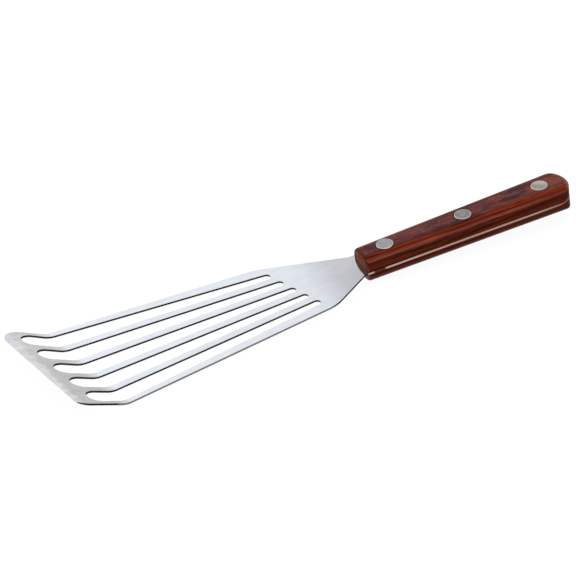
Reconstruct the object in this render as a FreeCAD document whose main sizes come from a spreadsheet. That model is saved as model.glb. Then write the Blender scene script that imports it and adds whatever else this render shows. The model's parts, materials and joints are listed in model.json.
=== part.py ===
import FreeCAD, Part
import math
import os
import Sketcher
from FreeCAD import Placement, Rotation, Vector

# Fish spatula: a stamped and bent steel sheet between two wooden scales, held by three two-piece rivets.
# While it is modelled the sheet lies flat: x = 0 is the front of the handle, -X points to the tip,
# +X to the butt, and z = 0 is the middle of the sheet. The finished pieces are then laid as the tool
# rests on a table, with the origin under the middle of the whole. Lengths are in millimetres, angles
# in degrees.

sizes = {
    # the steel sheet and its upturned lip
    "sheet_thickness": 1.0,
    "bend_distance": 136.2,
    "bend_slant": 10.8,
    "bend_radius": 10.0,
    "bend_angle": 27.4,
    "lip_length": 22.1,
    "grind_width": 3.5,
    "edge_thickness": 0.45,
    # outline of the blade, far side (+Y) and near side (-Y)
    "neck_length": 2.3,
    "far_flare_angle": 5.8,
    "far_shoulder_distance": 43.4,
    "far_shoulder_width": 25.8,
    "far_shoulder_round": 40.0,
    "far_corner_round": 9.6,
    "near_flare_angle": 6.7,
    "near_shoulder_distance": 23.3,
    "near_shoulder_width": 22.6,
    "near_shoulder_round": 18.0,
    "near_corner_round": 6.0,
    # drain slots: gaps between bars of one width that radiate from a point near the butt
    "fan_apex_distance": 112.4,
    "fan_offset": 1.2,
    "fan_pitch": 3.16,
    "fan_turn": 0.43,
    "bar_width": 3.8,
    "slot_base_distance": 33.8,
    "slot_base_slant": 18.7,
    "slot_tip_margin": 7.7,
    # handle; its far butt corner is rounder than its near one, and a short flat is left between them
    "handle_length": 109.1,
    "handle_front_width": 17.8,
    "handle_butt_width": 23.0,
    "far_butt_share": 0.548,
    "end_flat_width": 1.2,
    "scale_thickness": 6.45,
    "side_land": 0.6,
    "side_lean": 15.0,
    "side_round": 6.5,
    "end_round": 1.5,
    # rivets
    "first_rivet_distance": 13.0,
    "rear_rivet_distance": 13.5,
    "head_diameter": 8.6,
    "head_height": 2.2,
    "head_bevel": 0.3,
    "tube_diameter": 5.0,
    "pin_diameter": 3.2,
    "pin_end_gap": 0.5,
    "hole_clearance": 0.05,
}

rivet_names = ("front", "middle", "rear")
slot_steps = (2, 1, 0, -1, -2)
trim_allowance = "0.6"
tolerance = 1e-6

doc = FreeCAD.newDocument("fish_spatula")
sheet = doc.addObject("Spreadsheet::Sheet", "Sizes")
for row, (alias, size) in enumerate(sizes.items(), start=1):
    sheet.set(f"A{row}", alias)
    sheet.set(f"B{row}", str(size))
    sheet.setAlias(f"B{row}", alias)
doc.recompute()

# Derived distances, as expressions on the sheet.
bend_advance = "Sizes.bend_radius * sin(Sizes.bend_angle)"
lip_advance = "Sizes.lip_length * cos(Sizes.bend_angle)"
tip_reach = f"(Sizes.bend_distance + ({bend_advance} + {lip_advance}) / cos(Sizes.bend_slant))"
handle_taper = "((Sizes.handle_butt_width - Sizes.handle_front_width) / 2 / Sizes.handle_length)"
neck_half_width = f"(Sizes.handle_front_width / 2 - Sizes.neck_length * {handle_taper})"
half_sheet = "(Sizes.sheet_thickness / 2)"
half_height = "(Sizes.sheet_thickness / 2 + Sizes.scale_thickness)"
stock_reach = "(Sizes.bend_distance + Sizes.lip_length + Sizes.handle_length)"
far_butt_round = "(Sizes.far_butt_share * Sizes.handle_butt_width)"
front_corner_round = "(Sizes.end_round + Sizes.side_land)"
near_butt_round = f"(Sizes.handle_butt_width - {far_butt_round} - Sizes.end_flat_width)"
side_inset = "(Sizes.scale_thickness - Sizes.side_land) * tan(Sizes.side_lean)"
round_inset = "Sizes.side_round * tan(45 - Sizes.side_lean / 2)"
front_flat_half = f"(Sizes.handle_front_width / 2 - {side_inset} - {round_inset})"
rivet_pitch = "(Sizes.handle_length - Sizes.first_rivet_distance - Sizes.rear_rivet_distance) / 2"


def number(expression):
    return float(sheet.evalExpression(expression))


def new_body(name):
    body = doc.addObject("PartDesign::Body", name)
    body.Label = name
    return body


def new_sketch(body, name, role, offset=None):
    plane = next(item for item in body.Origin.OriginFeatures if item.Role == role)
    sketch = body.newObject("Sketcher::SketchObject", name)
    sketch.AttachmentSupport = [(plane, "")]
    sketch.MapMode = "FlatFace"
    if offset:
        sketch.AttachmentOffset = offset
    return sketch


def bind(sketch, constraint, name, expression):
    index = sketch.addConstraint(constraint)
    sketch.renameConstraint(index, name)
    sketch.setExpression(f"Constraints.{name}", expression)


def locate(sketch, geometry, point, name, x, y):
    bind(sketch, Sketcher.Constraint("DistanceX", -1, 1, geometry, point, number(x)), f"{name}_x", x)
    bind(sketch, Sketcher.Constraint("DistanceY", -1, 1, geometry, point, number(y)), f"{name}_y", y)


def corner_arc(before, corner, after, radius):
    # tangent arc of the given radius in a corner, with its two end points
    to_before = (before - corner).normalize()
    to_after = (after - corner).normalize()
    half_angle = to_before.getAngle(to_after) / 2
    start = corner + to_before * (radius / math.tan(half_angle))
    end = corner + to_after * (radius / math.tan(half_angle))
    bisector = (to_before + to_after).normalize()
    centre = corner + bisector * (radius / math.sin(half_angle))
    middle = centre - bisector * radius
    return Part.Arc(start, middle, end), start, end


def add_outline(sketch, corners):
    # closed outline through named corners (name, x, y, radius); a corner with a radius becomes an arc
    points = [Vector(number(x), number(y), 0) for name, x, y, radius in corners]
    count = len(corners)
    starts = list(points)
    ends = list(points)
    arcs = {}
    for i, (name, x, y, radius) in enumerate(corners):
        if radius:
            after = points[(i + 1) % count]
            arcs[i], ends[i], starts[i] = corner_arc(points[i - 1], points[i], after, number(radius))
    lines = [sketch.addGeometry(Part.LineSegment(starts[i], ends[(i + 1) % count])) for i in range(count)]
    for i, (name, x, y, radius) in enumerate(corners):
        arriving, leaving = lines[i - 1], lines[i]
        if not radius:
            sketch.addConstraint(Sketcher.Constraint("Coincident", arriving, 2, leaving, 1))
            locate(sketch, leaving, 1, name, x, y)
            continue
        arc = sketch.addGeometry(arcs[i].toShape().Curve.trim(*arcs[i].toShape().ParameterRange))
        first = sketch.getPoint(arc, 1)
        forward = first.distanceToPoint(ends[i]) < first.distanceToPoint(starts[i])
        near_start, near_end = (1, 2) if forward else (2, 1)
        corner = sketch.addGeometry(Part.Point(points[i]), True)
        sketch.addConstraint(Sketcher.Constraint("Tangent", arriving, 2, arc, near_start))
        sketch.addConstraint(Sketcher.Constraint("Tangent", arc, near_end, leaving, 1))
        sketch.addConstraint(Sketcher.Constraint("PointOnObject", corner, 1, arriving))
        sketch.addConstraint(Sketcher.Constraint("PointOnObject", corner, 1, leaving))
        locate(sketch, corner, 1, name, x, y)
        bind(sketch, Sketcher.Constraint("Radius", arc, number(radius)), f"{name}_radius", radius)


def add_frame(sketch):
    # square well outside the whole tool, so that a cut takes away all that lies outside an outline
    far = f"2 * {stock_reach}"
    add_outline(sketch, [
        ("frame_a", f"-{far}", f"-{far}", None),
        ("frame_b", far, f"-{far}", None),
        ("frame_c", far, far, None),
        ("frame_d", f"-{far}", far, None),
    ])


def add_circles(sketch, diameter):
    # one circle on each rivet's axis
    for step, name in enumerate(rivet_names):
        x = f"Sizes.first_rivet_distance + {step} * {rivet_pitch}"
        centre = Vector(number(x), 0, 0)
        circle = sketch.addGeometry(Part.Circle(centre, Vector(0, 0, 1), number(diameter) / 2))
        sketch.addConstraint(Sketcher.Constraint("PointOnObject", circle, 3, -1))
        bind(sketch, Sketcher.Constraint("DistanceX", -1, 1, circle, 3, number(x)), f"{name}_x", x)
        bind(sketch, Sketcher.Constraint("Diameter", circle, number(diameter)), f"{name}_diameter", diameter)


def pad(body, sketch, length, **settings):
    feature = body.newObject("PartDesign::Pad", f"{sketch.Name}_pad")
    feature.Profile = sketch
    feature.setExpression("Length", length)
    for name, value in settings.items():
        setattr(feature, name, value)
    sketch.Visibility = False
    doc.recompute()
    return feature


def pocket(body, sketch, length, **settings):
    before = body.Shape.Volume
    feature = body.newObject("PartDesign::Pocket", f"{sketch.Name}_pocket")
    feature.Profile = sketch
    feature.setExpression("Length", length)
    for name, value in settings.items():
        setattr(feature, name, value)
    sketch.Visibility = False
    doc.recompute()
    if not body.Shape.Volume < before:
        raise RuntimeError(f"{feature.Name} cut nothing")
    return feature


def fillet(body, base, edges, radius):
    feature = body.newObject("PartDesign::Fillet", f"{base.Name}_fillet")
    feature.Base = (base, edges)
    feature.setExpression("Radius", radius)
    doc.recompute()
    return feature


def add_strip_profile(sketch):
    # side view of the sheet, square to the bend: flat, bend, lip and the ground edge of the lip
    thickness = sizes["sheet_thickness"]
    radius = sizes["bend_radius"]
    angle = math.radians(sizes["bend_angle"])
    lip = Vector(-math.cos(angle), math.sin(angle), 0)
    lip_normal = Vector(math.sin(angle), math.cos(angle), 0)
    bend_start = "-Sizes.bend_distance * cos(Sizes.bend_slant)"
    stock_end = "Sizes.handle_length + Sizes.handle_butt_width"
    centre = Vector(number(bend_start), radius, 0)
    lower_radius = radius + thickness / 2
    upper_radius = radius - thickness / 2
    lower_flat = Vector(number(stock_end), -thickness / 2, 0)
    upper_flat = Vector(number(stock_end), thickness / 2, 0)
    lower_start = centre - Vector(0, lower_radius, 0)
    upper_start = centre - Vector(0, upper_radius, 0)
    lower_end = centre - lip_normal * lower_radius
    upper_end = centre - lip_normal * upper_radius
    lower_tip = lower_end + lip * (sizes["lip_length"] + float(trim_allowance))
    upper_tip = lower_tip + lip_normal * sizes["edge_thickness"]
    grind_start = upper_end + lip * (sizes["lip_length"] - sizes["grind_width"])
    quarter = 1.5 * math.pi
    normal = Vector(0, 0, 1)
    lower_circle = Part.Circle(centre, normal, lower_radius)
    upper_circle = Part.Circle(centre, normal, upper_radius)
    flat_below = sketch.addGeometry(Part.LineSegment(lower_flat, lower_start))
    bend_below = sketch.addGeometry(Part.ArcOfCircle(lower_circle, quarter - angle, quarter))
    lip_below = sketch.addGeometry(Part.LineSegment(lower_end, lower_tip))
    tip = sketch.addGeometry(Part.LineSegment(lower_tip, upper_tip))
    grind = sketch.addGeometry(Part.LineSegment(upper_tip, grind_start))
    lip_above = sketch.addGeometry(Part.LineSegment(grind_start, upper_end))
    bend_above = sketch.addGeometry(Part.ArcOfCircle(upper_circle, quarter - angle, quarter))
    flat_above = sketch.addGeometry(Part.LineSegment(upper_start, upper_flat))
    stock_edge = sketch.addGeometry(Part.LineSegment(upper_flat, lower_flat))
    for constraint in (
        ("Tangent", flat_below, 2, bend_below, 2),
        ("Tangent", bend_below, 1, lip_below, 1),
        ("Coincident", lip_below, 2, tip, 1),
        ("Coincident", tip, 2, grind, 1),
        ("Coincident", grind, 2, lip_above, 1),
        ("Tangent", lip_above, 2, bend_above, 1),
        ("Tangent", bend_above, 2, flat_above, 1),
        ("Coincident", flat_above, 2, stock_edge, 1),
        ("Coincident", stock_edge, 2, flat_below, 1),
        ("Coincident", bend_below, 3, bend_above, 3),
        ("Horizontal", flat_below),
        ("Horizontal", flat_above),
        ("Vertical", stock_edge),
        ("Parallel", lip_above, lip_below),
        ("Perpendicular", tip, lip_below),
    ):
        sketch.addConstraint(Sketcher.Constraint(*constraint))
    locate(sketch, bend_below, 3, "bend_centre", bend_start, "Sizes.bend_radius")
    lower = f"Sizes.bend_radius + {half_sheet}"
    upper = f"Sizes.bend_radius - {half_sheet}"
    bend_turn = "180 - Sizes.bend_angle"
    bind(sketch, Sketcher.Constraint("Radius", bend_below, lower_radius), "lower_radius", lower)
    bind(sketch, Sketcher.Constraint("Radius", bend_above, upper_radius), "upper_radius", upper)
    bind(sketch, Sketcher.Constraint("Angle", lip_below, math.pi - angle), "bend_turn", bend_turn)
    lip_stock = f"Sizes.lip_length + {trim_allowance}"
    bind(sketch, Sketcher.Constraint("Distance", lip_below, number(lip_stock)), "lip_stock", lip_stock)
    lip_flat = "Sizes.lip_length - Sizes.grind_width"
    bind(sketch, Sketcher.Constraint("Distance", lip_above, number(lip_flat)), "lip_flat", lip_flat)
    bind(sketch, Sketcher.Constraint("Distance", tip, sizes["edge_thickness"]), "edge", "Sizes.edge_thickness")
    reach = Sketcher.Constraint("DistanceX", -1, 1, flat_below, 1, number(stock_end))
    bind(sketch, reach, "stock_end", stock_end)


def blade_corners():
    # the trimmed outline, seen from above; the tip edge runs parallel to the bend
    far_slope = "tan(Sizes.far_flare_angle)"
    near_slope = "tan(Sizes.near_flare_angle)"
    slant = "tan(Sizes.bend_slant)"
    far_reach = f"({tip_reach} - Sizes.far_shoulder_distance)"
    near_reach = f"({tip_reach} - Sizes.near_shoulder_distance)"
    far_tip = f"((Sizes.far_shoulder_width + {far_slope} * {far_reach}) / (1 - {far_slope} * {slant}))"
    near_tip = f"(-(Sizes.near_shoulder_width + {near_slope} * {near_reach}) / (1 + {near_slope} * {slant}))"
    far_width = "Sizes.far_shoulder_width"
    near_width = "-Sizes.near_shoulder_width"
    butt_half_width = "Sizes.handle_butt_width / 2"
    return [
        ("far_neck", "-Sizes.neck_length", neck_half_width, None),
        ("far_shoulder", "-Sizes.far_shoulder_distance", far_width, "Sizes.far_shoulder_round"),
        ("far_corner", f"-{tip_reach} - {slant} * {far_tip}", far_tip, "Sizes.far_corner_round"),
        ("near_corner", f"-{tip_reach} - {slant} * {near_tip}", near_tip, "Sizes.near_corner_round"),
        ("near_shoulder", "-Sizes.near_shoulder_distance", near_width, "Sizes.near_shoulder_round"),
        ("near_neck", "-Sizes.neck_length", f"-{neck_half_width}", None),
        ("near_butt", "Sizes.handle_length", f"-{butt_half_width}", near_butt_round),
        ("far_butt", "Sizes.handle_length", butt_half_width, far_butt_round),
    ]


def add_slot(sketch, step):
    # tapered slot with round ends along the sketch's X axis, which starts at the apex of the fan
    angle = f"({step} * Sizes.fan_pitch - Sizes.fan_turn)"
    half_pitch = "sin(Sizes.fan_pitch / 2)"
    half_bar = "Sizes.bar_width / 2"
    ends = {}
    for end, distance, slant in (
        ("base", "Sizes.slot_base_distance", "Sizes.slot_base_slant"),
        ("tip", f"({tip_reach} - Sizes.slot_tip_margin / cos(Sizes.bend_slant))", "Sizes.bend_slant"),
    ):
        across = f"(cos({angle}) - sin({angle}) * tan({slant}))"
        ends[end] = f"(Sizes.fan_apex_distance + {distance} + Sizes.fan_offset * tan({slant})) / {across}"
    base_centre = f"(({ends['base']} - {half_bar}) / (1 - {half_pitch}))"
    tip_centre = f"(({ends['tip']} + {half_bar}) / (1 + {half_pitch}))"
    base_radius = f"{base_centre} * {half_pitch} - {half_bar}"
    tip_radius = f"{tip_centre} * {half_pitch} - {half_bar}"
    lean = math.radians(number("Sizes.fan_pitch / 2"))
    quarter = math.pi / 2
    up = Vector(-math.sin(lean), math.cos(lean), 0)
    down = Vector(-math.sin(lean), -math.cos(lean), 0)
    base = Vector(number(base_centre), 0, 0)
    tip = Vector(number(tip_centre), 0, 0)
    base_circle = Part.Circle(base, Vector(0, 0, 1), number(base_radius))
    tip_circle = Part.Circle(tip, Vector(0, 0, 1), number(tip_radius))
    base_arc = sketch.addGeometry(Part.ArcOfCircle(base_circle, quarter + lean, 3 * quarter - lean))
    tip_arc = sketch.addGeometry(Part.ArcOfCircle(tip_circle, -quarter - lean, quarter + lean))
    walls = []
    for direction in (up, down):
        start = base + direction * number(base_radius)
        end = tip + direction * number(tip_radius)
        walls.append(sketch.addGeometry(Part.LineSegment(start, end)))
    sketch.addConstraint(Sketcher.Constraint("Tangent", base_arc, 1, walls[0], 1))
    sketch.addConstraint(Sketcher.Constraint("Tangent", base_arc, 2, walls[1], 1))
    sketch.addConstraint(Sketcher.Constraint("Tangent", tip_arc, 2, walls[0], 2))
    sketch.addConstraint(Sketcher.Constraint("Tangent", tip_arc, 1, walls[1], 2))
    for arc, name, centre, radius in (
        (base_arc, "base", base_centre, base_radius),
        (tip_arc, "tip", tip_centre, tip_radius),
    ):
        sketch.addConstraint(Sketcher.Constraint("PointOnObject", arc, 3, -1))
        place = Sketcher.Constraint("DistanceX", -1, 1, arc, 3, number(centre))
        bind(sketch, place, f"{name}_centre", centre)
        bind(sketch, Sketcher.Constraint("Radius", arc, number(radius)), f"{name}_radius", radius)


def make_blade():
    body = new_body("blade_and_tang")
    slanted = Placement(Vector(), Rotation(Vector(0, 1, 0), sizes["bend_slant"]))
    profile = new_sketch(body, "strip_profile", "XZ_Plane", slanted)
    profile.setExpression("AttachmentOffset.Rotation.Angle", "Sizes.bend_slant")
    add_strip_profile(profile)
    pad(body, profile, f"2 * {stock_reach}", SideType="Symmetric")

    trim = new_sketch(body, "trim_outline", "XY_Plane")
    add_outline(trim, blade_corners())
    add_frame(trim)
    cut_height = "2 * (Sizes.lip_length + Sizes.bend_radius + Sizes.sheet_thickness)"
    pocket(body, trim, cut_height, SideType="Symmetric")

    for index, step in enumerate(slot_steps, start=1):
        turn = f"180 - {step} * Sizes.fan_pitch + Sizes.fan_turn"
        turned = Rotation(Vector(0, 0, 1), number(turn))
        offset = Placement(Vector(sizes["fan_apex_distance"], sizes["fan_offset"], 0), turned)
        slot = new_sketch(body, f"drain_slot_{index}", "XY_Plane", offset)
        slot.setExpression("AttachmentOffset.Base.x", "Sizes.fan_apex_distance")
        slot.setExpression("AttachmentOffset.Base.y", "Sizes.fan_offset")
        slot.setExpression("AttachmentOffset.Rotation.Angle", turn)
        add_slot(slot, step)
        pocket(body, slot, cut_height, SideType="Symmetric")

    holes = new_sketch(body, "tang_holes", "XY_Plane")
    add_circles(holes, "Sizes.tube_diameter + 2 * Sizes.hole_clearance")
    pocket(body, holes, cut_height, SideType="Symmetric")
    return body


def handle_corners():
    # the handle's outline, seen from above
    front = "Sizes.handle_front_width / 2"
    butt = "Sizes.handle_butt_width / 2"
    return [
        ("far_front", "0", front, front_corner_round),
        ("near_front", "0", f"-{front}", front_corner_round),
        ("near_butt", "Sizes.handle_length", f"-{butt}", near_butt_round),
        ("far_butt", "Sizes.handle_length", butt, far_butt_round),
    ]


def bar_corners():
    # foot of a scale's bar, a little longer than the handle at both ends
    land = "Sizes.side_land * tan(Sizes.side_lean)"
    front = f"(Sizes.handle_front_width / 2 + {land} - Sizes.scale_thickness * {handle_taper})"
    butt = f"(Sizes.handle_butt_width / 2 + {land} + Sizes.scale_thickness * {handle_taper})"
    start = "-Sizes.scale_thickness"
    end = "Sizes.handle_length + Sizes.scale_thickness"
    return [
        ("far_start", start, front, None),
        ("near_start", start, f"-{front}", None),
        ("near_end", end, f"-{butt}", None),
        ("far_end", end, butt, None),
    ]


def long_sides(shape):
    # names of the two upright faces along a scale's bar
    return [f"Face{i}" for i, face in enumerate(shape.Faces, start=1)
            if face.BoundBox.XLength > tolerance and face.BoundBox.ZLength > tolerance]


def faces_at(shape, level):
    # names of the level faces at one height
    return [f"Face{i}" for i, face in enumerate(shape.Faces, start=1)
            if max(abs(face.BoundBox.ZMin - level), abs(face.BoundBox.ZMax - level)) < tolerance]


def long_edges(shape, level):
    # names of the two edges along the outer flat of a scale's bar
    names = []
    for index, edge in enumerate(shape.Edges, start=1):
        box = edge.BoundBox
        if abs(box.Center.z - level) < tolerance and box.XLength > sizes["handle_length"]:
            names.append(f"Edge{index}")
    return names


def end_edges(shape):
    # names of the edges round the ends of a scale, between its upright walls and its outer side
    level = number(half_sheet)
    names = []
    for index, edge in enumerate(shape.Edges, start=1):
        box = edge.BoundBox
        on_tang = max(abs(box.ZMin), abs(box.ZMax)) < level + tolerance
        walls = [face for face in shape.ancestorsOfType(edge, Part.Face) if is_wall(face)]
        if not on_tang and box.XLength < sizes["handle_length"] / 2 and len(walls) == 1:
            names.append(f"Edge{index}")
    return names


def is_wall(face):
    low, high, start, end = face.ParameterRange
    return abs(face.normalAt((low + high) / 2, (start + end) / 2).z) < tolerance


def make_scale(name, side):
    # side is 1 for the scale above the tang and -1 for the one below it
    body = new_body(name)
    inner = f"{side} * {half_sheet}"
    outer = f"{side} * {half_height}"
    foot = new_sketch(body, f"{name}_foot", "XY_Plane", Placement(Vector(0, 0, number(inner)), Rotation()))
    foot.setExpression("AttachmentOffset.Base.z", inner)
    add_outline(foot, bar_corners())
    bar = pad(body, foot, "Sizes.scale_thickness", Reversed=side < 0)
    leaning = body.newObject("PartDesign::Draft", f"{name}_sides")
    leaning.Base = (bar, long_sides(bar.Shape))
    leaning.NeutralPlane = (bar, faces_at(bar.Shape, number(inner)))
    leaning.Reversed = side < 0
    leaning.setExpression("Angle", "Sizes.side_lean")
    doc.recompute()
    fillet(body, leaning, long_edges(leaning.Shape, number(outer)), "Sizes.side_round")

    plan = new_sketch(body, f"{name}_plan", "XY_Plane")
    add_outline(plan, handle_corners())
    add_frame(plan)
    trimmed = pocket(body, plan, f"4 * {half_height}", SideType="Symmetric")
    fillet(body, trimmed, end_edges(trimmed.Shape), "Sizes.end_round")

    for cut, diameter, depth in (
        ("holes", "Sizes.tube_diameter", "Sizes.scale_thickness"),
        ("seats", "Sizes.head_diameter", "Sizes.head_height"),
    ):
        raised = Placement(Vector(0, 0, number(outer)), Rotation())
        circles = new_sketch(body, f"{name}_{cut}", "XY_Plane", raised)
        circles.setExpression("AttachmentOffset.Base.z", outer)
        add_circles(circles, f"{diameter} + 2 * Sizes.hole_clearance")
        pocket(body, circles, depth, Reversed=side < 0)
    return body


def make_rivet_half(name, corners):
    # half section on the rivet's axis, turned about it
    body = new_body(name)
    section = new_sketch(body, f"{name}_section", "XZ_Plane")
    add_outline(section, [(label, x, z, None) for label, x, z in corners])
    feature = body.newObject("PartDesign::Revolution", f"{name}_turned")
    feature.Profile = section
    feature.ReferenceAxis = (section, ["V_Axis"])
    feature.Angle = 360
    section.Visibility = False
    doc.recompute()
    return body


def make_socket(name):
    head = "Sizes.head_diameter / 2"
    tube = "Sizes.tube_diameter / 2"
    bore = "Sizes.pin_diameter / 2 + Sizes.hole_clearance"
    seat = f"{half_height} - Sizes.head_height"
    mouth = f"-{half_height} + Sizes.head_height + Sizes.pin_end_gap"
    return make_rivet_half(name, [
        ("crown", "0", half_height),
        ("rim", f"{head} - Sizes.head_bevel", half_height),
        ("bevel", head, f"{half_height} - Sizes.head_bevel"),
        ("head", head, seat),
        ("neck", tube, seat),
        ("mouth", tube, mouth),
        ("bore", bore, mouth),
        ("bore_end", bore, seat),
        ("bore_middle", "0", seat),
    ])


def make_stud(name):
    head = "Sizes.head_diameter / 2"
    pin = "Sizes.pin_diameter / 2"
    seat = f"-{half_height} + Sizes.head_height"
    end = f"{half_height} - Sizes.head_height - Sizes.pin_end_gap"
    return make_rivet_half(name, [
        ("crown", "0", f"-{half_height}"),
        ("rim", f"{head} - Sizes.head_bevel", f"-{half_height}"),
        ("bevel", head, f"-{half_height} + Sizes.head_bevel"),
        ("head", head, seat),
        ("pin", pin, seat),
        ("pin_shoulder", pin, f"{end} - Sizes.head_bevel"),
        ("pin_end", f"{pin} - Sizes.head_bevel", end),
        ("pin_middle", "0", end),
    ])


def rest_on_table(bodies):
    # on a table the sheet touches all along its bend, and the lower scale at its front near the -Y side
    turn = Rotation(Vector(0, 0, 1), number("Sizes.bend_slant"))
    bend_line = turn.multVec(Vector(0, 1, 0))
    reach = number("(Sizes.bend_distance + Sizes.end_round) * cos(Sizes.bend_slant)")
    aside = number(f"{front_flat_half} * sin(Sizes.bend_slant)")
    tilt = math.degrees(math.atan2(number("Sizes.scale_thickness"), reach - aside))
    tilted = Placement(Vector(), Rotation(bend_line, -tilt))
    for body, along in bodies:
        body.Placement = tilted.multiply(Placement(Vector(along, 0, 0), Rotation()))
    doc.recompute()
    box = FreeCAD.BoundBox()
    for body, along in bodies:
        box.add(body.Shape.optimalBoundingBox(False))
    lift = Placement(Vector(-box.Center.x, -box.Center.y, -box.ZMin), Rotation())
    for body, along in bodies:
        body.Placement = lift.multiply(body.Placement)
    doc.recompute()
    print("laid at rest: tilt", round(tilt, 5), "about", bend_line, "shift", lift.Base)


pieces = [(make_blade(), 0), (make_scale("upper_scale", 1), 0), (make_scale("lower_scale", -1), 0)]
for step, place in enumerate(rivet_names):
    along = number(f"Sizes.first_rivet_distance + {step} * {rivet_pitch}")
    pieces.append((make_socket(f"{place}_rivet_socket"), along))
    pieces.append((make_stud(f"{place}_rivet_stud"), along))
rest_on_table(pieces)

for item in doc.Objects:
    if "Invalid" in item.State or "Error" in item.State:
        raise RuntimeError(f"{item.Name} failed: {item.State}")
for body, along in pieces:
    if body.Shape.isNull() or not body.Shape.isValid() or len(body.Shape.Solids) != 1:
        raise RuntimeError(f"{body.Label} is not one valid solid")

os.makedirs("parts", exist_ok=True)
for body, along in pieces:
    body.Shape.exportStep(f"parts/{body.Label}.step")
    print(body.Label, round(body.Shape.Volume, 1), body.Shape.BoundBox)
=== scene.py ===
import json
import math
import bpy
from mathutils import Matrix, Vector

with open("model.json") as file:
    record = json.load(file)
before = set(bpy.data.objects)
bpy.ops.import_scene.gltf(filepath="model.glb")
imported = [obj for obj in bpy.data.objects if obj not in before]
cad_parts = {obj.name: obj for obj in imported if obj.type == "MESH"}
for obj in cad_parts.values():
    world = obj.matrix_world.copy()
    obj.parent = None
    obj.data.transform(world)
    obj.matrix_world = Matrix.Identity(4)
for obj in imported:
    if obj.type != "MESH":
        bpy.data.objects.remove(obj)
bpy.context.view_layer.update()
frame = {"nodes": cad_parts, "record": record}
nodes = frame["nodes"]
print("frame loaded,", len(nodes), "pieces")

# rivet places in metres along the sheet, from the handle's front
rivetRow = {"first": 0.0130, "pitch": 0.0413, "radius": 0.0043}

# the tool lies a little tipped on the table, and its mounts tell how
mounts = {mount["name"]: mount for mount in frame["record"]["mounts"]}
along = Vector(mounts["grip"]["axis"])
upward = Vector(mounts["blade_top"]["axis"])
restTurn = Matrix((along, upward.cross(along), upward)).transposed().to_quaternion()
gripPlace = Vector((rivetRow["first"] + rivetRow["pitch"], 0.0, 0.0))      # on the middle rivet's axis
restShift = Vector(mounts["grip"]["pos_m"]) - restTurn @ gripPlace


# small helpers for node trees
def addNode(tree, kind, **settings):
    node = tree.nodes.new(kind)
    for name, value in settings.items():
        setattr(node, name, value)
    return node


def plug(tree, value, socket):
    # a link for a socket, a plain value otherwise
    if isinstance(value, bpy.types.NodeSocket):
        tree.links.new(value, socket)
    else:
        socket.default_value = value


def calc(tree, operation, first, second=0.0, third=0.0):
    node = addNode(tree, "ShaderNodeMath", operation=operation)
    plug(tree, first, node.inputs[0])
    plug(tree, second, node.inputs[1])
    plug(tree, third, node.inputs[2])
    return node.outputs[0]


def times(tree, first, *others):
    product = first
    for other in others:
        product = calc(tree, "MULTIPLY", product, other)
    return product


def fade(tree, value, low, high, toLow=0.0, toHigh=1.0):
    # smooth step from low to high
    node = addNode(tree, "ShaderNodeMapRange", interpolation_type="SMOOTHSTEP")
    plug(tree, value, node.inputs["Value"])
    node.inputs["From Min"].default_value = low
    node.inputs["From Max"].default_value = high
    node.inputs["To Min"].default_value = toLow
    node.inputs["To Max"].default_value = toHigh
    return node.outputs["Result"]


def between(tree, value, low, lowFull, highFull, high):
    # 1 from lowFull to highFull, fading out to low and high
    return times(tree, fade(tree, value, low, lowFull), fade(tree, value, high, highFull))


def sway(tree, value, noise, amount):
    # moves a value to and fro with a noise
    return calc(tree, "MULTIPLY_ADD", calc(tree, "SUBTRACT", noise, 0.5), amount, value)


def blend(tree, amount, first, second):
    # second over first; a colour may be a socket or three numbers
    node = addNode(tree, "ShaderNodeMix", data_type="RGBA")
    plug(tree, amount, node.inputs[0])
    for colour, socket in ((first, node.inputs[6]), (second, node.inputs[7])):
        plug(tree, colour if isinstance(colour, bpy.types.NodeSocket) else (*colour, 1.0), socket)
    return node.outputs[2]


def ramp(tree, value, stops):
    # colours along a value, which may start and end anywhere
    start = stops[0][0]
    span = stops[-1][0] - start
    node = addNode(tree, "ShaderNodeValToRGB")
    elements = node.color_ramp.elements
    while len(elements) < len(stops):
        elements.new(0.5)
    for element, (place, colour) in zip(elements, stops):
        element.position = (place - start) / span
        element.color = (*colour, 1.0)
    share = calc(tree, "DIVIDE", calc(tree, "SUBTRACT", value, start), span)
    plug(tree, share, node.inputs["Fac"])
    return node.outputs["Color"]


def grain(tree, vector, stretch, offset=(0, 0, 0), detail=3.0, rough=0.6, twist=0.0):
    # noise drawn out along the axes, features per metre
    mapping = addNode(tree, "ShaderNodeMapping")
    mapping.inputs["Scale"].default_value = stretch
    mapping.inputs["Location"].default_value = offset
    tree.links.new(vector, mapping.inputs["Vector"])
    noise = addNode(tree, "ShaderNodeTexNoise")
    noise.inputs["Scale"].default_value = 1.0
    noise.inputs["Detail"].default_value = detail
    noise.inputs["Roughness"].default_value = rough
    noise.inputs["Distortion"].default_value = twist
    tree.links.new(mapping.outputs["Vector"], noise.inputs["Vector"])
    return noise.outputs["Fac"]


def sheetSpace(tree):
    # object coordinates turned back to the flat sheet: x from the handle's front to its butt, y to the
    # far side and z off the sheet
    coords = addNode(tree, "ShaderNodeTexCoord")
    mapping = addNode(tree, "ShaderNodeMapping", vector_type="TEXTURE")
    mapping.inputs["Location"].default_value = restShift
    mapping.inputs["Rotation"].default_value = restTurn.to_euler()
    tree.links.new(coords.outputs["Object"], mapping.inputs["Vector"])
    split = addNode(tree, "ShaderNodeSeparateXYZ")
    tree.links.new(mapping.outputs["Vector"], split.inputs["Vector"])
    return mapping.outputs["Vector"], split.outputs["X"], split.outputs["Y"], split.outputs["Z"]


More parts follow.
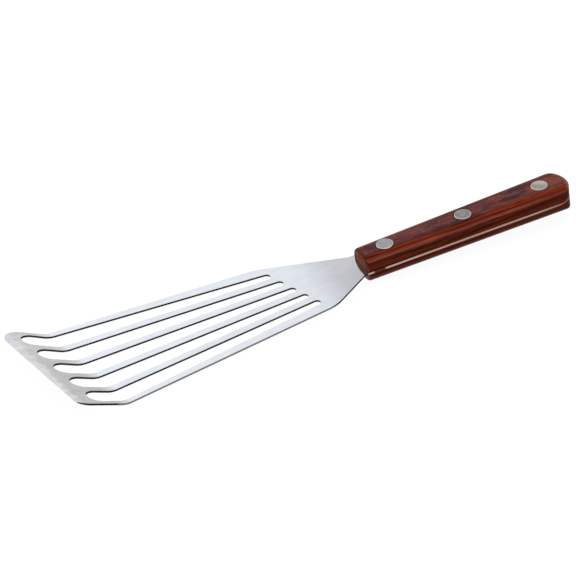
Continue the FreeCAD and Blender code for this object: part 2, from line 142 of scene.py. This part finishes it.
def facing(tree, direction):
    # how much a face looks along a direction of the flat sheet, from -1 to 1
    geometry = addNode(tree, "ShaderNodeNewGeometry")
    product = addNode(tree, "ShaderNodeVectorMath", operation="DOT_PRODUCT")
    tree.links.new(geometry.outputs["True Normal"], product.inputs[0])
    product.inputs[1].default_value = restTurn @ Vector(direction)
    return product.outputs["Value"]


def fromRivet(tree, x, y):
    # distance from the axis of the nearest rivet
    lengthwise = calc(tree, "SUBTRACT", x, rivetRow["first"])
    lengthwise = calc(tree, "PINGPONG", lengthwise, rivetRow["pitch"] / 2)
    squares = calc(tree, "MULTIPLY_ADD", lengthwise, lengthwise, times(tree, y, y))
    return calc(tree, "SQRT", squares)


def newMaterial(name):
    material = bpy.data.materials.new(name)
    material.use_nodes = True
    tree = material.node_tree
    tree.nodes.clear()
    output = addNode(tree, "ShaderNodeOutputMaterial")
    shader = addNode(tree, "ShaderNodeBsdfPrincipled")
    tree.links.new(shader.outputs["BSDF"], output.inputs["Surface"])
    return material, tree, shader


def addBump(tree, shader, height, strength, distance):
    bump = addNode(tree, "ShaderNodeBump")
    bump.inputs["Strength"].default_value = strength
    bump.inputs["Distance"].default_value = distance
    tree.links.new(height, bump.inputs["Height"])
    tree.links.new(bump.outputs["Normal"], shader.inputs["Normal"])


def dress(names, material):
    for name in names:
        for slot in nodes[name].material_slots:
            slot.material = material


# smooth shading for the carried-over solids
smoothing = {"angle": 28.0, "merge": 0.000002, "weight": 100}


def smoothGroup():
    group = bpy.data.node_groups.new("smoothByAngle", "GeometryNodeTree")
    group.interface.new_socket("Geometry", in_out="INPUT", socket_type="NodeSocketGeometry")
    group.interface.new_socket("Geometry", in_out="OUTPUT", socket_type="NodeSocketGeometry")
    start = addNode(group, "NodeGroupInput")
    end = addNode(group, "NodeGroupOutput")
    merge = addNode(group, "GeometryNodeMergeByDistance")
    merge.inputs["Distance"].default_value = smoothing["merge"]
    angle = addNode(group, "GeometryNodeInputMeshEdgeAngle")
    gentle = addNode(group, "FunctionNodeCompare", data_type="FLOAT", operation="LESS_THAN")
    gentle.inputs["B"].default_value = math.radians(smoothing["angle"])
    faces = addNode(group, "GeometryNodeSetShadeSmooth", domain="FACE")
    edges = addNode(group, "GeometryNodeSetShadeSmooth", domain="EDGE")
    group.links.new(start.outputs[0], merge.inputs[0])
    group.links.new(merge.outputs[0], faces.inputs[0])
    group.links.new(faces.outputs[0], edges.inputs[0])
    group.links.new(angle.outputs["Unsigned Angle"], gentle.inputs["A"])
    group.links.new(gentle.outputs["Result"], edges.inputs["Shade Smooth"])
    group.links.new(edges.outputs[0], end.inputs[0])
    return group


smoothNodes = smoothGroup()
for piece in nodes.values():
    soften = piece.modifiers.new("smoothByAngle", "NODES")
    soften.node_group = smoothNodes
    weigh = piece.modifiers.new("weightedNormals", "WEIGHTED_NORMAL")
    weigh.keep_sharp = True
    weigh.weight = smoothing["weight"]
print("smooth shading set")


# blade and tang: brushed stainless sheet with punched edges darkened by painted shade; places in metres on
# the flat sheet
# a Fade says where it starts and ends, and then how strong it is at both, if that isn't 0 and 1
bladeFinish = {
    "face": (0.78, 0.798, 0.832),
    # painted shade and reflection: the neck is darker towards the scales' front, deeper on its near side
    "neck": (0.55, 0.532, 0.558),
    "neckFade": (-0.033, -0.002),               # along the sheet
    "nearNeckShade": (0.475, 0.463, 0.488),
    "nearNeckShadeFade": (0.006, -0.010),            # across it
    "lip": (0.68, 0.675, 0.67),
    "lipFade": (0.0010, 0.0040),                # in height off the sheet
    "farLip": (0.73, 0.73, 0.74),
    "farLipFade": (0.008, 0.032),
    # painted highlight on the tip's ground bevel and its honed edge
    "ground": (0.96, 0.97, 1.0),
    "groundFade": (0.00158, 0.00474, 1.0, 0.0),         # in distance from the tip's edge
    "groundStretchFade": (-0.034, 0.034, 1.15, 0.65),   # of that distance: wider to the far corner
    "groundStrengthFade": (-0.034, 0.034, 0.65, 1.0),
    "groundWave": 0.0034,
    "tipLine": -0.16086,                        # where the tip's edge crosses the middle of the sheet
    "tipSlant": 10.8,                           # degrees
    # painted highlight on the tip's honed edge
    "honedFade": (0.0006, 0.0012, 1.0, 0.0),
    "brushing": (0.40, 0.40, 0.42),
    "brushFade": (0.43, 0.57),
    "brushDepth": 0.13,
    "neckBrush": 0.07,                          # added to the depth on the neck
    "lipBrush": 0.22,
    # painted shade on the cut walls of the sheet, browner on the lip and paler on the near outer edge
    "cutEdgeShade": (0.060, 0.054, 0.056),
    "lipEdgeShade": (0.075, 0.050, 0.043),
    "outerEdgeShade": (0.47, 0.455, 0.435),
    "outerFade": (0.0, -0.0004),
    "nearFlare": 6.7,                           # degrees, how far the near side opens
    "nearLine": -0.01786,                       # just inside the near side, where it would cross x = 0
    "nearStretch": (-0.137, -0.134, -0.027, -0.020),
    # painted highlight on the tang's edge at the front, turning to painted shade towards the butt
    "tangHighlight": (1.0, 0.80, 0.70),
    "tangFade": (-0.0012, -0.0002),
    "tangMiddleHighlight": (0.93, 0.63, 0.53),
    "tangMiddleFade": (0.015, 0.045),
    "tangButtShade": (0.42, 0.25, 0.19),
    "tangButtShadeFade": (0.086, 0.108),
    # a brownish band on the tang's edge close to the front
    "tangBrownBand": (0.20, 0.08, 0.04),
    "brownBandStretch": (0.0016, 0.0030, 0.0076, 0.0090),
    "upperFade": (-0.1, 0.1),                   # in how far a face looks up
    "edgeFade": (0.35, 0.6, 1.0, 0.0),
    "fineGrain": (60.0, 5200.0, 5200.0),
    "fineShare": 0.24,                          # of each grain in the brush marks
    "broadGrain": (45.0, 1300.0, 1300.0),
    "broadShare": 0.36,
    "cloudGrain": (150.0, 220.0, 220.0),
    "cloudShare": 0.40,
    "roughness": 0.33,
    "fineWear": 0.16,                           # how far each grain moves the roughness
    "broadWear": 0.06,
    "edgeWear": 0.15,
    "polish": 0.75,                             # how much smoother the neck is in front of the scales
    "polishFade": (-0.013, -0.006),
    "bump": {"strength": 0.08, "distance": 0.0001},
}


def steelFace(tree, x, y, upper, lift, toTip, marks, cloud):
    look = bladeFinish
    # painted shade on the neck in front of the scales, deeper on its near side
    neck = fade(tree, x, *look["neckFade"])
    neckTint = blend(tree, fade(tree, y, *look["nearNeckShadeFade"]), look["neck"], look["nearNeckShade"])
    lipTint = blend(tree, fade(tree, y, *look["farLipFade"]), look["lip"], look["farLip"])
    colour = blend(tree, lift, blend(tree, neck, look["face"], neckTint), lipTint)
    # painted highlight: the ground band on the tip's upper side is painted bright, with a wavy border, and
    # is fainter towards the near corner
    border = times(tree, toTip, fade(tree, y, *look["groundStretchFade"]))
    border = sway(tree, border, cloud, look["groundWave"])
    ground = times(tree, fade(tree, border, *look["groundFade"]), upper)
    ground = times(tree, ground, fade(tree, y, *look["groundStrengthFade"]))
    colour = blend(tree, ground, colour, look["ground"])
    # brushing and cloudy patches, stronger on the lip and the neck
    depth = calc(tree, "MULTIPLY_ADD", neck, look["neckBrush"], look["brushDepth"])
    depth = calc(tree, "MULTIPLY_ADD", lift, look["lipBrush"], depth)
    darken = times(tree, fade(tree, marks, *look["brushFade"]), depth)
    return blend(tree, darken, colour, look["brushing"])


def steelEdgeShading(tree, x, y, lift, toTip):
    look = bladeFinish
    # painted shade on the cut walls, browner on the lip
    colour = blend(tree, lift, look["cutEdgeShade"], look["lipEdgeShade"])
    # the painted shade is paler on the near outer edge than on the edges of the slots, and the tip's honed
    # edge gets a painted highlight
    flare = math.tan(math.radians(look["nearFlare"]))
    inside = calc(tree, "MULTIPLY_ADD", x, -flare, calc(tree, "SUBTRACT", y, look["nearLine"]))
    outer = times(tree, fade(tree, inside, *look["outerFade"]), between(tree, x, *look["nearStretch"]))
    colour = blend(tree, outer, colour, look["outerEdgeShade"])
    colour = blend(tree, fade(tree, toTip, *look["honedFade"]), colour, look["ground"])
    # the tang's edge is ground with the scales; it gets a painted highlight at the front that turns to
    # painted shade towards the butt, with a brownish band close to the front
    tang = blend(tree, fade(tree, x, *look["tangMiddleFade"]), look["tangHighlight"], look["tangMiddleHighlight"])
    tang = blend(tree, fade(tree, x, *look["tangButtShadeFade"]), tang, look["tangButtShade"])
    tang = blend(tree, between(tree, x, *look["brownBandStretch"]), tang, look["tangBrownBand"])
    return blend(tree, fade(tree, x, *look["tangFade"]), colour, tang)


def makeBladeSteel():
    look = bladeFinish
    material, tree, shader = newMaterial("brushedBladeSteel")
    place, x, y, z = sheetSpace(tree)
    fine = grain(tree, place, look["fineGrain"])
    broad = grain(tree, place, look["broadGrain"], offset=(3.1, 0.4, 0))
    cloud = grain(tree, place, look["cloudGrain"], offset=(0.3, 7.0, 0), detail=4.0)
    marks = calc(tree, "MULTIPLY_ADD", broad, look["broadShare"], times(tree, cloud, look["cloudShare"]))
    marks = calc(tree, "MULTIPLY_ADD", fine, look["fineShare"], marks)
    level = facing(tree, (0, 0, 1))
    upper = fade(tree, level, *look["upperFade"])
    edge = fade(tree, calc(tree, "ABSOLUTE", level), *look["edgeFade"])
    lift = fade(tree, z, *look["lipFade"])
    slant = math.tan(math.radians(look["tipSlant"]))
    toTip = calc(tree, "MULTIPLY_ADD", y, slant, calc(tree, "SUBTRACT", x, look["tipLine"]))
    face = steelFace(tree, x, y, upper, lift, toTip, marks, cloud)
    # the cut walls take the painted edge shading
    colour = blend(tree, edge, face, steelEdgeShading(tree, x, y, lift, toTip))
    tree.links.new(colour, shader.inputs["Base Color"])
    shader.inputs["Metallic"].default_value = 1.0
    rough = sway(tree, look["roughness"], fine, look["fineWear"])
    rough = sway(tree, rough, broad, look["broadWear"])
    # smoother in front of the scales, where the neck mirrors their ends, and rougher on the edges
    smooth = times(tree, fade(tree, x, *look["polishFade"]), calc(tree, "SUBTRACT", 1.0, edge))
    rough = times(tree, rough, calc(tree, "MULTIPLY_ADD", smooth, -look["polish"], 1.0))
    rough = calc(tree, "MULTIPLY_ADD", edge, look["edgeWear"], rough)
    tree.links.new(rough, shader.inputs["Roughness"])
    addBump(tree, shader, marks, **look["bump"])
    return material


dress(["blade_and_tang"], makeBladeSteel())
print("blade dressed")


# scales: dyed veneers pressed into a block, so the sides show layers and the flats a mottled face
# Heights run from the tang (0) to the outer flat (1), and a Fade is given as for the blade
woodFinish = {
    "inner": 0.0005,                    # where a scale starts, off the middle of the sheet
    "thickness": 0.00645,
    "tints": {
        "tar": (0.115, 0.009, 0.002),
        "umber": (0.115, 0.020, 0.009),
        "rust": (0.180, 0.027, 0.010),
        "russet": (0.225, 0.034, 0.015),
        "scarlet": (0.300, 0.037, 0.012),
        "copper": (0.360, 0.080, 0.048),
    },
    "layerTilt": 0.5,                   # share of the thickness that the layers sink per metre to the butt
    "tiltMiddle": 0.05,
    "driftGrain": (9.0, 60.0, 60.0),
    "layerDrift": 0.10,                 # how far each grain moves the layers
    "streakGrain": (16.0, 420.0, 420.0),
    "layerStreak": 0.10,
    "patchGrain": (95.0, 300.0, 300.0),
    "layerPatch": 0.05,
    "blotch": (0.040, 0.013, 0.009),
    "blotchGrain": (130.0, 620.0, 620.0),
    "blotchFade": (0.40, 0.60),
    "blotchHeights": (0.30, 0.40, 0.58, 0.66),
    "blotchStartFade": (0.008, 0.016),
    "blotchButtFade": (0.060, 0.085, 0.65, 0.85),
    "rustFade": (0.066, 0.104, 0.0, 0.6),
    "veinGrain": (26.0, 11.0, 1.0),
    "redVeinFade": (0.45, 0.33, 0.0, 0.45),
    "darkVeinFade": (0.50, 0.63, 0.0, 0.8),
    "flat": (0.202, 0.057, 0.050),
    "flatFade": (0.955, 0.995),         # in height
    "reachStretch": (0.062, 0.070, 0.088, 0.095),
    "reachFade": (-0.0034, -0.0042, 0.0, 0.8),
    "plum": (0.126, 0.036, 0.038),
    "plumFade": (0.42, 0.56, 0.9, 0.0),
    "rose": (0.290, 0.083, 0.054),
    "roseFade": (0.090, 0.101, 0.0, 0.7),
    "shade": (0.043, 0.024, 0.027),
    "ember": (0.330, 0.066, 0.040),
    # patches on the flats: x, y, half length, half width, strength
    "feathers": [
        (0.0065, 0.0004, 0.0036, 0.0052, 0.45),
        (0.0675, -0.0022, 0.0055, 0.0017, 0.60),
        (0.0800, -0.0018, 0.0080, 0.0020, 0.95),
        (0.0875, -0.0036, 0.0045, 0.0012, 0.80),
        (0.0860, 0.0034, 0.0075, 0.0020, 0.65),
        (0.0420, -0.0037, 0.0200, 0.0014, 0.65),
        (0.0500, 0.0052, 0.0400, 0.0015, 0.60),
        (0.1020, 0.0058, 0.0060, 0.0020, 0.60),
        (0.1000, -0.0046, 0.0080, 0.0009, 0.60),
    ],
    "embers": [
        (0.0735, 0.0024, 0.0050, 0.0024, 0.55),
        (0.0912, 0.0014, 0.0024, 0.0034, 0.75),
        (0.1015, -0.0004, 0.0030, 0.0034, 0.40),
        (0.0270, 0.0012, 0.0070, 0.0020, 0.30),
    ],
    "patchFade": (1.4, 0.2),            # in squared half lengths from a patch's middle
    "raggedStreak": 2.0,                # how far each grain frays the patches
    "raggedPatch": 3.0,
    "fleckGrain": (620.0, 1300.0, 1300.0),
    "darkFleckFade": (0.46, 0.62, 0.0, 0.5),
    "paleFleckFade": (0.44, 0.32, 0.0, 0.35),
    "nearRimHeights": (0.940, 0.968, 0.978, 0.998),
    "nearRimEndFade": (0.058, 0.042),
    "nearRimFade": (0.001, -0.001, 0.0, 0.7),
    # painted shade along the far rim of the flat
    "farRimShadeFade": (0.0035, 0.0080, 0.0, 0.5),
    "farRimShadeHeightFade": (0.75, 0.90),
    "rings": {"Scale": 230.0, "Distortion": 2.5, "Detail": 2.0, "Detail Scale": 1.5},
    "ringDark": (0.240, 0.052, 0.020),
    "ringPale": (0.480, 0.115, 0.050),
    "ringLine": (0.085, 0.020, 0.010),
    "ringLineStretch": (0.08, 0.16, 0.28, 0.44),        # from the end's middle (0) to its rim (1)
    "heartFade": (0.020, 0.006, 0.0, 0.6),
    "heartHeightFade": (0.25, 0.45),
    "endHalfWidth": 0.0089,
    "endSquareness": 4.0,
    "frontFade": (-0.60, -0.92),        # in how far a face looks to the butt
    # painted shade: the butt end is darkened nearly to black
    "buttShadeFade": (0.50, 0.90, 0.0, 0.75),
    # painted highlight on the butt's rim
    "buttRimHighlight": (0.520, 0.230, 0.150),
    "buttHighlightStretch": (0.12, 0.26, 0.40, 0.58),
    "buttHighlightHeightFade": (0.70, 0.85, 0.0, 0.75),
    "night": (0.014, 0.004, 0.004),
    "lineGrain": (14.0, 1100.0, 1100.0),
    "lineFade": (0.5, 0.78),
    "sideLines": 0.5,
    "flatLines": 0.2,                   # the dark lines are fainter on the flats
    "jointFade": (0.0001, 0.0009, 0.3, 0.0),            # in distance from a rivet's head
    "poreGrain": (170.0, 4200.0, 4200.0),
    "poreFade": (0.35, 0.62, 0.3, 0.0),
    "roughness": 0.34,
    "lineWear": 0.18,
    "gloss": 0.02,
    "bump": {"strength": 0.12, "distance": 0.00012},
}

# each scale has veneers from the tang (0) to the outer flat (1) and its own place in the block
upperScale = {
    "layers": [
        (0.00, "rust"),
        (0.21, "russet"),
        (0.33, "rust"),
        (0.49, "umber"),
        (0.57, "umber"),
        (0.68, "copper"),
        (0.76, "copper"),
        (0.81, "rust"),
        (0.85, "tar"),
        (0.90, "scarlet"),
        (1.02, "russet"),
    ],
    "cutAt": (0.0, 0.0, 0.0),
    "veinsAt": 0.60,
}
lowerScale = {
    "layers": [
        (-0.05, "rust"),
        (0.12, "russet"),
        (0.22, "umber"),
        (0.34, "scarlet"),
        (0.60, "scarlet"),
        (0.74, "umber"),
        (0.88, "scarlet"),
        (1.20, "russet"),
    ],
    "cutAt": (0.31, 0.043, 0.017),
    "veinsAt": 0.55,
}


def woodSpot(tree, place, cutAt):
    # the same grain cut from another place in the block
    shifted = addNode(tree, "ShaderNodeVectorMath", operation="ADD")
    shifted.inputs[1].default_value = cutAt
    tree.links.new(place, shifted.inputs[0])
    return shifted.outputs["Vector"]


def flatMask(tree, x, y, height):
    # 1 on the outer flat; the red side layers reach over its near rim between the middle and rear rivets
    look = woodFinish
    reach = times(tree, between(tree, x, *look["reachStretch"]), fade(tree, y, *look["reachFade"]))
    return times(tree, fade(tree, height, *look["flatFade"]), calc(tree, "SUBTRACT", 1.0, reach))


def layeredSide(tree, spot, x, height, scale, streak, patch):
    look = woodFinish
    tints = look["tints"]
    drift = grain(tree, spot, look["driftGrain"], detail=2.0, rough=0.5)
    layer = sway(tree, height, drift, look["layerDrift"])
    layer = sway(tree, layer, streak, look["layerStreak"])
    layer = sway(tree, layer, patch, look["layerPatch"])
    toButt = calc(tree, "SUBTRACT", x, look["tiltMiddle"])
    layer = calc(tree, "MULTIPLY_ADD", toButt, look["layerTilt"], layer)
    colour = ramp(tree, layer, [(level, tints[tint]) for level, tint in scale["layers"]])
    # brown blotches half way down the side, stronger towards the butt, where rust covers the layers
    blotch = grain(tree, spot, look["blotchGrain"], offset=(7.7, 0.3, 2.9), detail=5.0, rough=0.65)
    half = between(tree, height, *look["blotchHeights"])
    half = times(tree, half, fade(tree, x, *look["blotchButtFade"]), fade(tree, x, *look["blotchStartFade"]))
    colour = blend(tree, times(tree, half, fade(tree, blotch, *look["blotchFade"])), colour, look["blotch"])
    colour = blend(tree, fade(tree, x, *look["rustFade"]), colour, tints["rust"])
    # thin veins that run with the layers, dark and red
    strip = addNode(tree, "ShaderNodeCombineXYZ")
    plug(tree, x, strip.inputs["X"])
    plug(tree, layer, strip.inputs["Y"])
    plug(tree, scale["veinsAt"], strip.inputs["Z"])
    vein = grain(tree, strip.outputs["Vector"], look["veinGrain"])
    colour = blend(tree, fade(tree, vein, *look["redVeinFade"]), colour, tints["scarlet"])
    return blend(tree, fade(tree, vein, *look["darkVeinFade"]), colour, look["night"])


def mottledFlat(tree, spot, x, y, streak, patch):
    look = woodFinish
    colour = blend(tree, fade(tree, patch, *look["plumFade"]), look["flat"], look["plum"])
    colour = blend(tree, fade(tree, x, *look["roseFade"]), colour, look["rose"])
    # patches with frayed borders
    ragged = sway(tree, sway(tree, 0.0, streak, look["raggedStreak"]), patch, look["raggedPatch"])
    for patches, tint in (("embers", "ember"), ("feathers", "shade")):
        for midX, midY, halfX, halfY, strength in look[patches]:
            lengthwise = calc(tree, "DIVIDE", calc(tree, "SUBTRACT", x, midX), halfX)
            crosswise = calc(tree, "DIVIDE", calc(tree, "SUBTRACT", y, midY), halfY)
            away = calc(tree, "MULTIPLY_ADD", crosswise, crosswise, ragged)
            away = calc(tree, "MULTIPLY_ADD", lengthwise, lengthwise, away)
            amount = fade(tree, away, *look["patchFade"], toHigh=strength)
            colour = blend(tree, amount, colour, look[tint])
    fleck = grain(tree, spot, look["fleckGrain"], offset=(0.4, 2.2, 6.1))
    colour = blend(tree, fade(tree, fleck, *look["darkFleckFade"]), colour, look["shade"])
    return blend(tree, fade(tree, fleck, *look["paleFleckFade"]), colour, look["rose"])


def flatRims(tree, colour, x, y, height):
    # a dark line on the near rim as far as the middle rivet, and painted shade along the far one
    look = woodFinish
    near = between(tree, height, *look["nearRimHeights"])
    near = times(tree, near, fade(tree, x, *look["nearRimEndFade"]), fade(tree, y, *look["nearRimFade"]))
    colour = blend(tree, near, colour, look["shade"])
    # painted shade along the far rim
    far = times(tree, fade(tree, y, *look["farRimShadeFade"]), fade(tree, height, *look["farRimShadeHeightFade"]))
    return blend(tree, far, colour, look["shade"])


def endGrain(tree, colour, spot, y, height):
    # rings on the front end with a dark one that follows its rim, open at the tang; the butt is painted
    # nearly black as shade, under a pale rim that is a painted highlight
    look = woodFinish
    ends = facing(tree, (1, 0, 0))
    rings = addNode(tree, "ShaderNodeTexWave", wave_type="RINGS", rings_direction="X")
    for setting, value in look["rings"].items():
        rings.inputs[setting].default_value = value
    tree.links.new(spot, rings.inputs["Vector"])
    ringed = blend(tree, rings.outputs["Fac"], look["ringDark"], look["ringPale"])
    crosswise = calc(tree, "DIVIDE", y, look["endHalfWidth"])
    crosswise = calc(tree, "POWER", crosswise, look["endSquareness"])
    upright = calc(tree, "MAXIMUM", calc(tree, "MULTIPLY_ADD", height, 2.0, -1.0), 0.0)
    upright = calc(tree, "POWER", upright, look["endSquareness"])
    toRim = calc(tree, "ADD", crosswise, upright)
    ringed = blend(tree, between(tree, toRim, *look["ringLineStretch"]), ringed, look["ringLine"])
    heart = times(tree, fade(tree, toRim, *look["heartFade"]), fade(tree, height, *look["heartHeightFade"]))
    ringed = blend(tree, heart, ringed, look["ringLine"])
    colour = blend(tree, fade(tree, ends, *look["frontFade"]), colour, ringed)
    # painted highlight on the butt's rim
    buttHighlight = between(tree, ends, *look["buttHighlightStretch"])
    buttHighlight = times(tree, buttHighlight, fade(tree, height, *look["buttHighlightHeightFade"]))
    colour = blend(tree, buttHighlight, colour, look["buttRimHighlight"])
    # painted shade on the butt end
    return blend(tree, fade(tree, ends, *look["buttShadeFade"]), colour, look["night"])


def makeWood(name, scale):
    look = woodFinish
    material, tree, shader = newMaterial(name)
    place, x, y, z = sheetSpace(tree)
    spot = woodSpot(tree, place, scale["cutAt"])
    streak = grain(tree, spot, look["streakGrain"], offset=(5.0, 1.7, 9.2), detail=4.0)
    patch = grain(tree, spot, look["patchGrain"], offset=(1.3, 0.2, 4.0), detail=4.0, twist=0.8)
    line = grain(tree, spot, look["lineGrain"], offset=(2.0, 4.4, 0.7))
    pore = grain(tree, spot, look["poreGrain"], offset=(1.0, 0.0, 3.0), detail=2.0)
    height = calc(tree, "SUBTRACT", calc(tree, "ABSOLUTE", z), look["inner"])
    height = calc(tree, "DIVIDE", height, look["thickness"])
    flat = flatMask(tree, x, y, height)
    side = layeredSide(tree, spot, x, height, scale, streak, patch)
    colour = blend(tree, flat, side, mottledFlat(tree, spot, x, y, streak, patch))
    lineDepth = calc(tree, "MULTIPLY_ADD", flat, look["flatLines"] - look["sideLines"], look["sideLines"])
    colour = blend(tree, times(tree, fade(tree, line, *look["lineFade"]), lineDepth), colour, look["night"])
    colour = flatRims(tree, colour, x, y, height)
    fromHead = calc(tree, "SUBTRACT", fromRivet(tree, x, y), rivetRow["radius"])
    colour = blend(tree, fade(tree, fromHead, *look["jointFade"]), colour, look["night"])
    colour = endGrain(tree, colour, spot, y, height)
    colour = blend(tree, fade(tree, pore, *look["poreFade"]), colour, look["night"])
    tree.links.new(colour, shader.inputs["Base Color"])
    rough = sway(tree, look["roughness"], line, look["lineWear"])
    tree.links.new(rough, shader.inputs["Roughness"])
    shader.inputs["Specular IOR Level"].default_value = look["gloss"]
    addBump(tree, shader, pore, **look["bump"])
    return material


dress(["upper_scale"], makeWood("upperScaleWood", upperScale))
dress(["lower_scale"], makeWood("lowerScaleWood", lowerScale))
print("scales dressed")


# rivets: satin steel, ground flush with the wood; a Fade is given as for the blade
rivetFinish = {
    "front": (0.330, 0.326, 0.352),
    "middle": (0.235, 0.216, 0.208),
    "rear": (0.330, 0.300, 0.255),
    # painted highlight on the rear rivet towards the far butt corner
    "rearGlint": (0.590, 0.535, 0.445),
    "rearGlintFade": (-0.002, 0.005),
    "mottle": (0.47, 0.46, 0.45),
    "mottleGrain": (600.0, 600.0, 600.0),
    "mottleFade": (0.40, 0.62, 0.0, 0.45),
    "scratch": (0.24, 0.23, 0.22),
    "scratchGrain": (420.0, 2200.0, 900.0),
    "scratchFade": (0.45, 0.7, 0.0, 0.5),
    "rim": (0.86, 0.79, 0.74),
    "rimFade": (0.84, 0.95, 0.0, 0.85),         # in shares of the radius
    "roughness": 0.38,
    "mottleWear": 0.2,
    "bump": {"strength": 0.06, "distance": 0.00008},
}


def makeRivetSteel():
    look = rivetFinish
    material, tree, shader = newMaterial("satinRivet")
    place, x, y, _ = sheetSpace(tree)
    scratch = grain(tree, place, look["scratchGrain"], rough=0.65)
    mottle = grain(tree, place, look["mottleGrain"], offset=(0.2, 0.9, 0), rough=0.55)
    first = rivetRow["first"]
    second = first + rivetRow["pitch"]
    third = second + rivetRow["pitch"]
    toRear = fade(tree, x, second, third)
    colour = blend(tree, fade(tree, x, first, second), look["front"], look["middle"])
    colour = blend(tree, toRear, colour, look["rear"])
    # painted highlight: the rear rivet is painted brighter towards the far butt corner
    corner = calc(tree, "ADD", calc(tree, "SUBTRACT", x, third), y)
    rearGlint = times(tree, toRear, fade(tree, corner, *look["rearGlintFade"]))
    colour = blend(tree, rearGlint, colour, look["rearGlint"])
    colour = blend(tree, fade(tree, mottle, *look["mottleFade"]), colour, look["mottle"])
    colour = blend(tree, fade(tree, scratch, *look["scratchFade"]), colour, look["scratch"])
    # the rims are paler
    toRim = calc(tree, "DIVIDE", fromRivet(tree, x, y), rivetRow["radius"])
    colour = blend(tree, fade(tree, toRim, *look["rimFade"]), colour, look["rim"])
    tree.links.new(colour, shader.inputs["Base Color"])
    shader.inputs["Metallic"].default_value = 1.0
    rough = sway(tree, look["roughness"], mottle, look["mottleWear"])
    tree.links.new(rough, shader.inputs["Roughness"])
    addBump(tree, shader, scratch, **look["bump"])
    return material


dress([name for name in nodes if "rivet" in name], makeRivetSteel())
print("rivets dressed")


# stage: a pale floor that glows, so that it stays white with only a faint shadow
stageLook = {
    "size": 8.0,
    "colour": (0.10, 0.10, 0.10),
    "roughness": 0.8,
    "gloss": 0.1,
    "glowColour": (1.0, 1.0, 1.0),
    "glow": 0.94,
}


def makeFloor():
    bpy.ops.mesh.primitive_plane_add(size=stageLook["size"])
    floor = bpy.context.object
    floor.name = "floor"
    material, tree, shader = newMaterial("paleFloor")
    shader.inputs["Base Color"].default_value = (*stageLook["colour"], 1.0)
    shader.inputs["Roughness"].default_value = stageLook["roughness"]
    shader.inputs["Specular IOR Level"].default_value = stageLook["gloss"]
    shader.inputs["Emission Color"].default_value = (*stageLook["glowColour"], 1.0)
    shader.inputs["Emission Strength"].default_value = stageLook["glow"]
    # clear from below, so that the tool's underside can be looked at
    surface = shader.outputs["BSDF"].links[0].to_socket
    geometry = addNode(tree, "ShaderNodeNewGeometry")
    clear = addNode(tree, "ShaderNodeBsdfTransparent")
    either = addNode(tree, "ShaderNodeMixShader")
    tree.links.new(geometry.outputs["Backfacing"], either.inputs[0])
    tree.links.new(shader.outputs["BSDF"], either.inputs[1])
    tree.links.new(clear.outputs["BSDF"], either.inputs[2])
    tree.links.new(either.outputs["Shader"], surface)
    floor.data.materials.append(material)
    floor.visible_glossy = False      # keeps its glow off the steel and the polished wood
    floor.visible_diffuse = False


makeFloor()


# light: a bright wall of cloth behind, darker towards the camera and past the tool's two ends
# a Fade is given as for the blade, in x, y or z of a direction, from -1 to 1
skyLook = {
    "heights": [
        (0.0, (0.97, 0.96, 0.95)),
        (0.30, (0.86, 0.86, 0.87)),
        (0.52, (0.95, 0.97, 1.0)),
        (1.0, (0.70, 0.71, 0.74)),
    ],
    "sideFade": (0.16, 0.40, 1.25, 0.92),       # from the blade's side to the handle's
    "frontFade": (-0.5, 0.4, 0.34, 1.0),
    "card": 0.45,
    "cardHeightFade": (0.02, 0.20),
    "cardFade": (0.3, -0.3),
    "belowFade": (-0.25, 0.0, 1.15, 1.0),
    "endFade": (0.60, 0.88, 1.0, 0.4),
}


def makeSky():
    look = skyLook
    world = bpy.data.worlds.new("studio")
    bpy.context.scene.world = world
    world.use_nodes = True
    tree = world.node_tree
    tree.nodes.clear()
    coords = addNode(tree, "ShaderNodeTexCoord")
    split = addNode(tree, "ShaderNodeSeparateXYZ")
    tree.links.new(coords.outputs["Generated"], split.inputs["Vector"])
    x, y, z = split.outputs["X"], split.outputs["Y"], split.outputs["Z"]
    colour = ramp(tree, z, look["heights"])
    side = fade(tree, x, *look["sideFade"])
    front = fade(tree, y, *look["frontFade"])
    # a card on the camera's side that only reflections see, so that the blade is bright from behind too
    rays = addNode(tree, "ShaderNodeLightPath")
    card = times(tree, rays.outputs["Is Glossy Ray"], fade(tree, z, *look["cardHeightFade"]))
    card = times(tree, card, fade(tree, y, *look["cardFade"]))
    front = calc(tree, "MULTIPLY_ADD", card, look["card"], front)
    below = fade(tree, z, *look["belowFade"])
    ends = fade(tree, calc(tree, "ABSOLUTE", x), *look["endFade"])
    background = addNode(tree, "ShaderNodeBackground")
    output = addNode(tree, "ShaderNodeOutputWorld")
    tree.links.new(colour, background.inputs["Color"])
    tree.links.new(times(tree, side, front, below, ends), background.inputs["Strength"])
    tree.links.new(background.outputs["Background"], output.inputs["Surface"])


makeSky()

overhead = {"place": (0.15, -0.15, 1.3), "aim": (0.03, 0.0, 0.0), "size": 1.1, "watts": 8.0}
lampData = bpy.data.lights.new("overhead", "AREA")
lampData.size = overhead["size"]
lampData.energy = overhead["watts"]
lamp = bpy.data.objects.new("overhead", lampData)
bpy.context.scene.collection.objects.link(lamp)
lamp.visible_glossy = False       # no hard white patch in the steel
lamp.location = overhead["place"]
lampAim = Vector(overhead["aim"]) - Vector(overhead["place"])
lamp.rotation_euler = lampAim.to_track_quat("-Z", "Y").to_euler()
print("stage and light set")


# camera at the photo's angle; metres, degrees and millimetres
cameraLook = {
    "place": (-0.299390, -0.791303, 0.553261),
    "turn": (56.88472, 5.98738, -24.03467),
    "lens": 136.0193,
    "sensor": 36.0,
    "nearest": 0.01,
}
cameraData = bpy.data.cameras.new("photoCamera")
cameraData.lens = cameraLook["lens"]
cameraData.sensor_width = cameraLook["sensor"]
cameraData.clip_start = cameraLook["nearest"]
camera = bpy.data.objects.new("photoCamera", cameraData)
bpy.context.scene.collection.objects.link(camera)
camera.location = cameraLook["place"]
camera.rotation_euler = [math.radians(angle) for angle in cameraLook["turn"]]
bpy.context.scene.camera = camera
bpy.context.scene.view_settings.view_transform = "Standard"
print("camera set")
